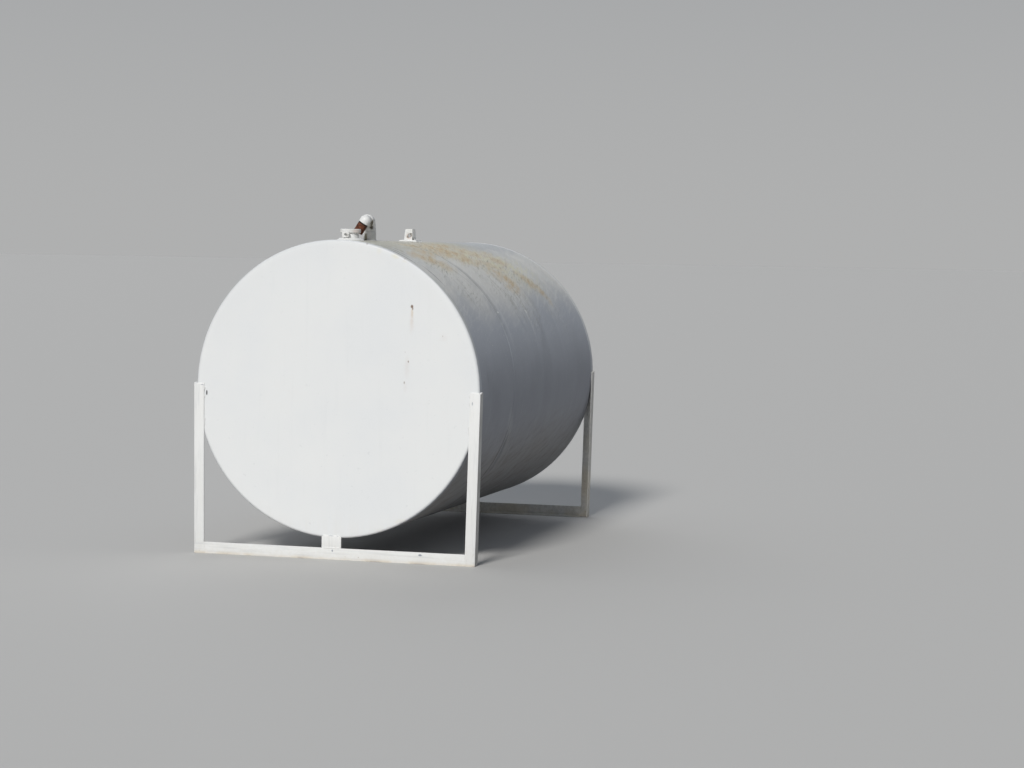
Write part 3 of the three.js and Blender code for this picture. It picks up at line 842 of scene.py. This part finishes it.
def frame_paint():
    finish, shader, place = new_finish("frame_paint")
    x, y, z = place.parts()
    clouds = grain(place, 9, 4)
    mottle = grain(place, 70, 4, roughness=0.6)
    runs = grain(place, 1, 4, (90, 90, 6), 0.55)
    along = grain(place, 1, 4, (6, 90, 150), 0.55)
    near_floor = z.ease(0.16, 0.0)
    lying = z.ease(0.05, 0.042)  # 1 on the bottom angle, where the streaks lie flat
    rear = y.ease(0.5, 0.9)
    color = blended(clouds.ease(0.35, 0.7), FRAME_WHITE, FRAME_WARM)
    color = blended(runs.ease(0.48, 0.70) * (1 - lying) * 0.30, color, FRAME_GREY)
    color = blended(along.ease(0.48, 0.70) * lying * 0.32, color, FRAME_GREY)
    color = blended(near_floor * mottle.ease(0.35, 0.65) * 0.2, color, FRAME_SOILED_AND_SHADE)
    color = blended(z.ease(0.016, 0.002) * (0.2 + clouds.ease(0.40, 0.62) * 0.5), color, FRAME_FOOT)

    # Painted shade on the sides that face away from the tank, and old paint darkened further as
    # painted shade all over the rear frame
    sideways = place.node("NewGeometry", output="Normal").parts()[0]
    outer = (sideways * x).ease(0.40, 0.52) * (0.70 + clouds.ease(0.35, 0.6) * 0.25)
    color = blended(outer, color, FRAME_OLD_AND_SHADE)
    color = blended(rear * (0.3 + clouds.ease(0.4, 0.65) * 0.5), color, FRAME_SOILED_AND_SHADE)
    color = blended(rear * (0.2 + mottle.ease(0.4, 0.6) * 0.3), color, FRAME_OLD_AND_SHADE)
    color = blended(rear * z.ease(0.50, 0.10) * clouds.ease(0.3, 0.6) * 0.35, color, FRAME_FOOT)
    color = blended(z.ease(0.02, 0.0) * clouds.ease(0.5, 0.7) * 0.5, color, FRAME_GREY)

    # Marks, and chips down to rust
    sparse = grain(place, 4, 2).ease(0.55, 0.65)
    chips = mottle.ease(0.68, 0.72) * (near_floor * sparse * 0.5 + rear * 0.5 + 0.05)
    chips = (chips + z.ease(0.003, 0.0) * clouds.ease(0.56, 0.64) * 0.6).limit()
    color = marked(color, place, mottle, FRAME_MARKS_AND_SHADOWS, FRAME_BLUE)
    color = blended(chips, color, FRAME_RUST)
    brush = ripple(grain(place, 1, 3, (500, 500, 60), 0.55), 0.00015)
    connect(
        shader,
        Base_Color=color,
        Roughness=0.4 + clouds * 0.12 + chips * 0.35,
        Normal=ripple(chips, -0.0003, brush),
    )
    return finish


FRAME = frame_paint(), "frame_paint"
for end in ("front", "rear"):
    for part in ("left_leg", "right_leg", "sill", "center_stub"):
        node = f"{end}_{part}"
        add(f"{node}_bar", softened(node), *FRAME, node)


# The frames are held by short runs of weld: stitches down each leg's inner edge where it crosses the
# head, two over its top, one run over the post's top and one at its foot, and one at each end of the
# bottom angle.
STITCHES = ((0.646, 0.662), (0.677, 0.695), (0.53, 0.565))  # heights of a leg's stitches
BUTT = 0.0053  # how far a frame's outer plane stands off the head's face
SILL_RUN = (0.003, 0.046)  # heights of the run at an end of the bottom angle
TOP_LAP = 0.024  # how far a leg's top run goes back along its side
RUN_END = 0.004  # how far a run stops short of an edge
WELD_STEP = 0.0015


def straight(start, end, outward, wide, high):
    start, end = Vector(start), Vector(end)
    count = max(4, round((end - start).length / WELD_STEP))
    path = [start.lerp(end, k / count) for k in range(count + 1)]
    return bead(path, [outward] * len(path), wide, high)


def frame_welds(end, face, outward):
    """The welds of one frame, from the head's face and the way that the frame stands off it."""
    plane = face + outward * BUTT
    off, over = (0, outward, 0), (0, outward, 1.2)
    runs = []  # each with its start, end, way out, width and height
    for side, part in ((-1, "left_leg"), (1, "right_leg")):
        low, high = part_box(f"{end}_{part}")
        width = high.y - low.y
        slope = (high.x - low.x - width) / (high.z - low.z)
        outer = high.x if side > 0 else low.x
        inner = outer - side * width
        heights = [z for pair in (*STITCHES, SILL_RUN) for z in pair]
        edge = {z: inner - side * slope * (high.z - z) for z in heights}
        for bottom, top in STITCHES:
            tilt = (-side * 0.6, outward, 0)
            runs.append(((edge[bottom], face, bottom), (edge[top], face, top), tilt, 0.008, 0.004))
        top_end = (outer - side * RUN_END, face, high.z)
        runs.append(((inner, face, high.z), top_end, over, 0.008, 0.0036))
        lap = outer - side * 0.001
        lap_end = (lap, face - outward * TOP_LAP, high.z)
        runs.append(((lap, face, high.z), lap_end, (side * 0.6, 0, 1), 0.009, 0.0052))
        bottom, top = SILL_RUN
        runs.append(((edge[bottom], plane, bottom), (edge[top], plane, top), off, 0.006, 0.0012))
    low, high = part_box(f"{end}_center_stub")
    left, right = low.x + RUN_END, high.x - RUN_END
    runs.append(((left, face, high.z), (right, face, high.z), over, 0.009, 0.0042))
    runs.append(((left, plane, low.z), (right, plane, low.z), off, 0.007, 0.0013))
    return joined([straight(*run) for run in runs])


add("front_frame_welds", frame_welds("front", FRONT_FACE, -1), *FRAME)
add("rear_frame_welds", frame_welds("rear", REAR_FACE, 1), *FRAME)


# The fill fitting stands on the crown behind the front head: a low steel flange welded to the shell,
# a threaded neck, and a cast cap that drops over it, with a lock yoke in front. All are painted white.
CROWN = AXIS + RADIUS
SUNK = 0.0008  # how far a weld on the crown sits in, for the plate's waves
ROUND_STEPS = 4


def middle(node):
    """How far along the tank the middle of a node is."""
    low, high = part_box(node)
    return (low.y + high.y) / 2


def rounded(corners, radius, loop=True):
    """A line through corners given in a plane, with each corner rounded."""
    corners = [np.array(corner, float) for corner in corners]
    line = []
    for k, corner in enumerate(corners):
        if not loop and k in (0, len(corners) - 1):
            line.append(corner)
            continue
        before = corners[k - 1] - corner
        after = corners[(k + 1) % len(corners)] - corner
        reach = min(radius, np.linalg.norm(before) * 0.45, np.linalg.norm(after) * 0.45)
        start = corner + before / np.linalg.norm(before) * reach
        end = corner + after / np.linalg.norm(after) * reach
        for t in np.linspace(0, 1, ROUND_STEPS + 1):
            line.append((1 - t) ** 2 * start + 2 * t * (1 - t) * corner + t**2 * end)
    return line


def turned(profile, place, loop=True, around=96):
    """A turned piece from its (radius, height) profile, stood at a place by a matrix."""
    turns = circle(around)
    rings = [[place @ Vector((r * math.cos(t), r * math.sin(t), h)) for t in turns] for r, h in profile]
    return skin(rings, closed=loop, sharp=40)


def saddle_weld(y, radius, wide, high):
    """A fillet weld round the foot of a round fitting, following the crown of the shell."""
    turns = circle(round(math.tau * radius / WELD_STEP))
    path = []
    for turn in turns:
        x = radius * math.cos(turn)
        path.append((x, y + radius * math.sin(turn), AXIS + math.sqrt((RADIUS - SUNK) ** 2 - x * x)))
    return bead(path, [(math.cos(t), math.sin(t), 1) for t in turns], wide, high, loop=True)


FITTING_WHITE = tone(0.80, 0.80, 0.79)
FITTING_DULL = tone(0.69, 0.69, 0.675)
# Painted highlight
FITTING_HIGHLIGHT = tone(0.93, 0.93, 0.93)
# Painted shadow, and grime
GRIME_AND_SHADE = tone(0.12, 0.10, 0.07)
OLIVE = tone(0.26, 0.23, 0.15)
# Pink of grime, and of a painted reflection of the rusty pipe
PINKISH = tone(0.66, 0.52, 0.46)
FILL_Y = middle("fill_cap")
VENT_Y = middle("vent_coupling")
PIN_X, PIN_UP = 0.0072, 0.0262  # the yoke's lock pin, right of the axis and above the crown
# Marks on each fitting, with the centre as (right of the axis, behind the fitting's middle, above the
# crown), the half-size, the strength and the colour. The light marks are painted highlights; the dark
# marks in the pocket between the vent's elbows and at the lug's hole and corner are painted shadow;
# the pink mark on the cap is a painted reflection of the rusty pipe, and the olive mark on the coupling
# is stain with painted shade. The pink mark on the lug is grime.
FITTING_LIGHT_AND_MARKS = {
    "fill_cap": [
        ((0.036, -0.028, 0.036), (0.022, 0.03, 0.012), 0.5, PINKISH),
        ((0.02, -0.032, 0.02), (0.018, 0.012, 0.014), 0.9, FITTING_HIGHLIGHT),
        ((0.0015, -0.049, 0.02), (0.0055, 0.008, 0.01), 0.55, GRIME_AND_SHADE),
        ((PIN_X, -0.049, PIN_UP), (0.0078, 0.0012, 0.0078), 0.7, GRIME_AND_SHADE),
    ],
    "vent_coupling": [
        ((0.0285, -0.028, 0.08), (0.012, 0.022, 0.03), 1.0, FITTING_HIGHLIGHT),
        ((0.026, 0.002, 0.07), (0.012, 0.022, 0.04), 0.8, FITTING_HIGHLIGHT),
        ((0.0325, -0.071, 0.07), (0.009, 0.02, 0.017), 1.0, GRIME_AND_SHADE),
        ((0.0312, -0.056, 0.074), (0.01, 0.009, 0.02), 1.0, GRIME_AND_SHADE),
        ((0.029, -0.05, 0.066), (0.012, 0.014, 0.014), 1.0, GRIME_AND_SHADE),
        ((0.02, -0.042, 0.059), (0.013, 0.016, 0.014), 1.0, GRIME_AND_SHADE),
        ((0.0155, -0.0205, 0.054), (0.01, 0.012, 0.012), 1.0, GRIME_AND_SHADE),
        ((0.005, -0.0265, 0.043), (0.01, 0.01, 0.008), 0.9, FITTING_HIGHLIGHT),
        ((-0.008, -0.027, 0.012), (0.011, 0.012, 0.026), 0.95, OLIVE),
        ((-0.012, -0.03, 0.001), (0.014, 0.012, 0.008), 0.8, GRIME_AND_SHADE),
    ],
    "lifting_lug": [
        ((0.022, 0.004, 0.034), (0.008, 0.045, 0.03), 1.0, FITTING_HIGHLIGHT),
        ((0.04, 0.004, 0), (0.012, 0.06, 0.02), 1.0, FITTING_HIGHLIGHT),
        ((0.001, -0.021, 0.022), (0.02, 0.014, 0.018), 0.8, PINKISH),
        ((-0.003, -0.021, 0.019), (0.01, 0.014, 0.007), 0.9, GRIME_AND_SHADE),
        ((0.005, -0.021, 0.026), (0.0135, 0.014, 0.0125), 1.0, GRIME_AND_SHADE),
        ((0.011, -0.021, 0.033), (0.008, 0.014, 0.006), 0.8, GRIME_AND_SHADE),
        ((0.024, -0.018, 0.01), (0.01, 0.016, 0.014), 1.0, GRIME_AND_SHADE),
    ],
}


def fitting_paint():
    finish, shader, place = new_finish("fitting_paint")
    clouds = grain(place, 22, 4)
    mottle = grain(place, 140, 4, roughness=0.6)
    # Painted shade and grime in the hollows
    hollow_shade = place.node("NewGeometry", output="Pointiness").ease(0.49, 0.42)
    color = blended(clouds.ease(0.4, 0.7), FITTING_WHITE, FITTING_DULL)
    color = blended((hollow_shade * (0.4 + mottle)).limit() * 0.8, color, GRIME_AND_SHADE)
    color = blended(mottle.ease(0.62, 0.7) * clouds.ease(0.4, 0.6) * 0.6, color, OLIVE)
    # The marks, most of them painted highlights and shadows
    for node, marks in FITTING_LIGHT_AND_MARKS.items():
        for (across, behind, up), half, strength, over in marks:
            centre = (across, middle(node) + behind, CROWN + up)
            one = spot(place, centre, half, mottle * 0.7 - 0.35)
            color = blended(one * strength, color, over)
    connect(
        shader,
        Base_Color=color,
        Roughness=0.42 + clouds * 0.15 + hollow_shade * 0.25,
        Normal=ripple(mottle, 0.0003),
    )
    return finish


FITTING = fitting_paint(), "fitting_paint"
THREAD = 0.0022  # pitch
NECK_THREADS = 9
fill_place = Matrix.Translation((0, FILL_Y, CROWN))
# The corners of a turned piece are (radius, height above its place).
flange_corners = [(0.053, -0.006), (0.053, 0.0015), (0.044, 0.008), (0.0353, 0.008), (0.0353, -0.006)]
add("fill_flange_ring", turned(rounded(flange_corners, 0.0015), fill_place), *FITTING, "fill_flange")
neck_profile = [(0.035, -0.0045), (0.035, 0.009)]
for k in range(NECK_THREADS):
    root = 0.01 + k * THREAD
    neck_profile += [(0.0347, root), (0.035, root + THREAD / 2)]
neck_profile += [(0.0345, 0.0375), (0.034, 0.038), (0.0275, 0.038), (0.027, 0.0375), (0.027, -0.0045)]
add("fill_neck_pipe", turned(neck_profile, fill_place), *FITTING, "fill_neck")
cap_corners = [
    (0.0005, 0.0383),
    (0.0356, 0.0383),
    (0.0356, 0.0285),
    (0.0412, 0.0285),
    (0.043, 0.0305),
    (0.043, 0.0428),
    (0.0405, 0.0452),
    (0.034, 0.0452),
    (0.032, 0.044),
    (0.0005, 0.044),
]
cap_profile = rounded(cap_corners, 0.0012, loop=False)
add("fill_cap_top", turned(cap_profile, fill_place, loop=False), *FITTING, "fill_cap")
add("fill_cap_yoke", softened("fill_cap_hasp", edge=0.0008), *FITTING, "fill_cap_hasp")
yoke_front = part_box("fill_cap_hasp")[0].y
pin_place = Matrix.Translation((PIN_X, yoke_front, CROWN + PIN_UP)) @ rotation(90, "X")
pin_corners = [(0.0004, 0.0028), (0.0056, 0.0028), (0.0056, -0.0025), (0.0004, -0.0025)]
pin_profile = rounded(pin_corners, 0.0018, loop=False)
add("fill_cap_pin", turned(pin_profile, pin_place, loop=False, around=48), *FITTING)
add("fill_weld", saddle_weld(FILL_Y, 0.0535, wide=0.009, high=0.004), *FITTING)


# The vent is screwed together from a half coupling welded to the crown, two short nipples, two cast
# elbows that turn it forwards and then down and aside, and a bare pipe nipple that has rusted brown.
# The rest is painted.
ELBOW_CORNER = 0.0815  # above the crown
UPPER_CORNER = 0.089  # from the lower elbow's corner
VENT_TURN = 7  # degrees off the tank's length
OUTLET_ROLL = 33  # degrees aside
PIPE, BORE = 0.0211, 0.0175  # radii
THREAD_DEPTH = 0.0011
PIPE_RIM = 0.0004  # chamfer at the end
VOXEL = 0.0012
MELT_ROUNDS = 5
coupling_place = Matrix.Translation((0, VENT_Y, CROWN))
gooseneck = Matrix.Translation((0, VENT_Y, CROWN + ELBOW_CORNER)) @ rotation(VENT_TURN, "Z")
close_place = gooseneck @ rotation(90, "X")
upper = gooseneck @ Matrix.Translation((0, -UPPER_CORNER, 0))
outlet = upper @ rotation(OUTLET_ROLL, "Y") @ rotation(180, "X")


def cast(node):
    """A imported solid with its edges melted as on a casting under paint."""
    source = bpy.data.objects.new("casting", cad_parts[node].data.copy())
    bpy.context.scene.collection.objects.link(source)
    remesh = source.modifiers.new("remesh", "REMESH")
    remesh.mode = "VOXEL"
    remesh.voxel_size = VOXEL
    smooth = source.modifiers.new("smooth", "SMOOTH")
    smooth.factor = 0.5
    smooth.iterations = MELT_ROUNDS
    made = bpy.data.meshes.new_from_object(source.evaluated_get(bpy.context.evaluated_depsgraph_get()))
    bpy.data.objects.remove(source)
    return smoothed(made, 180)


def pipe(place, low, high, threaded):
    """A pipe from a height to another over its place, threaded between two others."""
    line = [(PIPE, low)]
    for k in range(int((threaded[1] - threaded[0]) / THREAD)):
        crest = threaded[0] + k * THREAD
        line += [(PIPE, crest), (PIPE - THREAD_DEPTH, crest + THREAD / 2)]
    line += [(PIPE - PIPE_RIM, high), (BORE + PIPE_RIM, high), (BORE, high - 0.0006), (BORE, low)]
    return turned(line, place)


coupling_corners = [(0.0275, -0.003), (0.0275, 0.038), (0.0214, 0.038), (0.0214, -0.003)]
coupling = turned(rounded(coupling_corners, 0.0018), coupling_place)
add("vent_half_coupling", coupling, *FITTING, "vent_coupling")
add("vent_weld", saddle_weld(VENT_Y, 0.028, wide=0.008, high=0.0038), *FITTING)
riser_pipe = pipe(coupling_place, 0.025, 0.0515, threaded=(0.034, 0.043))
add("vent_riser_pipe", riser_pipe, *FITTING, "vent_riser_nipple")
add("vent_lower_casting", cast("vent_lower_elbow"), *FITTING, "vent_lower_elbow")
close_pipe = pipe(close_place, 0.03, 0.059, threaded=(0.04, 0.05))
add("vent_close_pipe", close_pipe, *FITTING, "vent_close_nipple")
add("vent_upper_casting", cast("vent_upper_elbow"), *FITTING, "vent_upper_elbow")

LIP_SHADOW_BLACK = tone(0.008, 0.005, 0.004)
RUST_DARK = tone(0.05, 0.016, 0.007)
RUST_MID = tone(0.155, 0.048, 0.02)
RUST_ORANGE = tone(0.29, 0.09, 0.035)


def bare_rust():
    finish, shader, place = new_finish("bare_rust")
    blotch = grain(place, 90, 4, roughness=0.6)
    fine = grain(place, 600, 4, roughness=0.7)
    color = blended(blotch.ease(0.38, 0.62), RUST_DARK, RUST_MID)
    color = blended(fine.ease(0.5, 0.7) * 0.6, color, RUST_ORANGE)

    # Painted shadow, black, where the pipe enters under the elbow's lip
    axis = outlet.to_3x3() @ Vector((0, 0, 1))
    from_corner = place.vector("SUBTRACT", place, outlet.translation)
    along = place.vector("DOT_PRODUCT", from_corner, axis, output="Value") + blotch * 0.006
    color = blended(along.ease(0.0225, 0.0185), color, LIP_SHADOW_BLACK)
    scale = ripple(fine, 0.0004, ripple(blotch, 0.0006))
    connect(shader, Base_Color=color, Roughness=0.75 + fine * 0.2, Normal=scale)
    return finish


outlet_pipe = pipe(outlet, 0.0078, 0.058, threaded=(0.036, 0.057))
add("vent_outlet_pipe", outlet_pipe, bare_rust(), "bare_rust", "vent_outlet_nipple")


# The lifting lug is a short piece of angle with tapered sides and a shackle hole, welded to a pad
# that is bent to the crown and welded down all round.
LUG_HALF = 0.021  # half the width of the angle's sides
LUG_PLATE = 0.006  # thickness of the angle and of the pad
LUG_TURN = -9  # degrees
lug_place = Matrix.Translation((0, middle("lug_pad"), 0)) @ rotation(LUG_TURN, "Z")


def fillet(corners, place, radius, side, loop=False):
    """A fillet weld along corners seen from above, on a surface of a radius about the axis.

    It faces to the right of the way along the corners where side is 1, and to the left where it is -1.
    """
    points = [place @ Vector((*corner, 0)) for corner in corners]
    if loop:
        points.append(points[0])
    line = []
    for start, end in zip(points, points[1:]):
        count = max(2, round((end - start).length / WELD_STEP))
        line += [start.lerp(end, k / count) for k in range(count)]
    if not loop:
        line.append(points[-1])
    path = [Vector((p.x, p.y, AXIS + math.sqrt(radius * radius - p.x * p.x))) for p in line]
    upward = Vector((0, 0, 1))
    ways = [(beyond - before).normalized() for before, beyond in neighbours(path, loop)]
    outward = [way.cross(upward) * side + upward for way in ways]
    return bead(path, outward, wide=0.008, high=0.0036, loop=loop)


add("lug_pad_plate", softened("lug_pad", edge=0.0015), *FITTING, "lug_pad")
add("lug_angle", softened("lifting_lug", edge=0.0014, root=0.004), *FITTING, "lifting_lug")
low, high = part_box("lug_pad")
pad_corners = [(low.x, low.y), (high.x, low.y), (high.x, high.y), (low.x, high.y)]
LUG_INSIDE = LUG_HALF - LUG_PLATE
outer_corners = [(-LUG_HALF, -LUG_HALF), (LUG_HALF, -LUG_HALF), (LUG_HALF, LUG_HALF)]
inner_corners = [(-LUG_HALF, -LUG_INSIDE), (LUG_INSIDE, -LUG_INSIDE), (LUG_INSIDE, LUG_HALF)]
lug_welds = [
    fillet(pad_corners, Matrix.Identity(4), RADIUS - SUNK, 1, loop=True),
    fillet(outer_corners, lug_place, RADIUS + LUG_PLATE, 1),
    fillet(inner_corners, lug_place, RADIUS + LUG_PLATE, -1),
]
add("lug_welds", joined(lug_welds), *FITTING)
